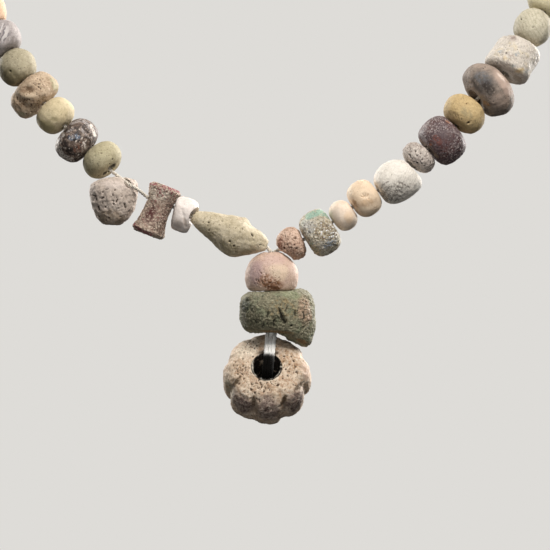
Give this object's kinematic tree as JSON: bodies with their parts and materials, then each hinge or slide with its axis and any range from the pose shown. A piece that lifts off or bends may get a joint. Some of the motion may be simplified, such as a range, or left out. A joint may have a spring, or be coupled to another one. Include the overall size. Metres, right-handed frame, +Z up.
{
  "type": "bead necklace",
  "caption": "Necklace of mixed old beads in faience, glass, clay and stone on one string, with a pendant of three beads ending in a melon-shaped ring.",
  "frame": {"origin": "middle of the neck opening, level with the nape, where the neck sits when the necklace is worn", "axes": "+Z up, the wearer faces -Y, +X to the wearer's left, which is right in the picture"},
  "size_m": [0.1288, 0.1458, 0.1406],
  "materials": {
    "left_11_peach": "satin",
    "left_10_striated": "satin",
    "left_9_olive": "matte",
    "left_8_melon": "matte, porous",
    "left_7_cream": "satin",
    "left_6_mosaic": "glossy, weathered",
    "left_5_round": "matte, porous",
    "left_4_pierced_lump": "satin, pitted",
    "left_3_spool": "matte, speckled",
    "left_2_collar": "satin",
    "left_1_spindle": "satin, pitted",
    "right_1_porous": "matte, porous",
    "right_2_crusted": "rough crust, iridescent in places",
    "right_3_bicone": "satin",
    "right_4_peach": "satin",
    "right_5_barrel": "satin",
    "right_6_grey": "matte, porous",
    "right_7_purple": "satin, speckled",
    "right_8_ochre": "matte, pitted",
    "right_9_pebble": "matte, pitted",
    "right_10_mottled": "matte, mottled",
    "right_11_pale": "matte, scratched",
    "right_12_yellow": "matte",
    "pendant_1_pink": "satin",
    "pendant_2_green": "satin, pitted",
    "pendant_3_melon_ring": "matte, pitted",
    "string": "twisted cotton",
    "pendant_strands": "twisted cotton",
    "plain_beads": "matte"
  },
  "bodies": {
    "string": {"left_11_peach": "left_11_peach", "left_10_striated": "left_10_striated", "left_9_olive": "left_9_olive", "left_8_melon": "left_8_melon", "left_7_cream": "left_7_cream", "left_6_mosaic": "left_6_mosaic", "left_5_round": "left_5_round", "left_4_pierced_lump": "left_4_pierced_lump", "left_3_spool": "left_3_spool", "left_2_collar": "left_2_collar", "left_1_spindle": "left_1_spindle", "right_1_porous": "right_1_porous", "right_2_crusted": "right_2_crusted", "right_3_bicone": "right_3_bicone", "right_4_peach": "right_4_peach", "right_5_barrel": "right_5_barrel", "right_6_grey": "right_6_grey", "right_7_purple": "right_7_purple", "right_8_ochre": "right_8_ochre", "right_9_pebble": "right_9_pebble", "right_10_mottled": "right_10_mottled", "right_11_pale": "right_11_pale", "right_12_yellow": "right_12_yellow", "main_thread": "string", "nape_knot": "string", "left_back_string": "plain_beads", "right_back_string": "plain_beads"},
    "pendant": {"pendant_1_pink": "pendant_1_pink", "pendant_2_green": "pendant_2_green", "pendant_3_melon_ring": "pendant_3_melon_ring", "pendant_thread": "pendant_strands"}
  },
  "joints": [
    {"name": "pendant_swing", "type": "hinge", "parent": "string", "child": "pendant", "pos_m": [0.0001, -0.06749, -0.1014], "axis": [1, 0, 0], "range_deg": [-12, 12]}
  ]
}
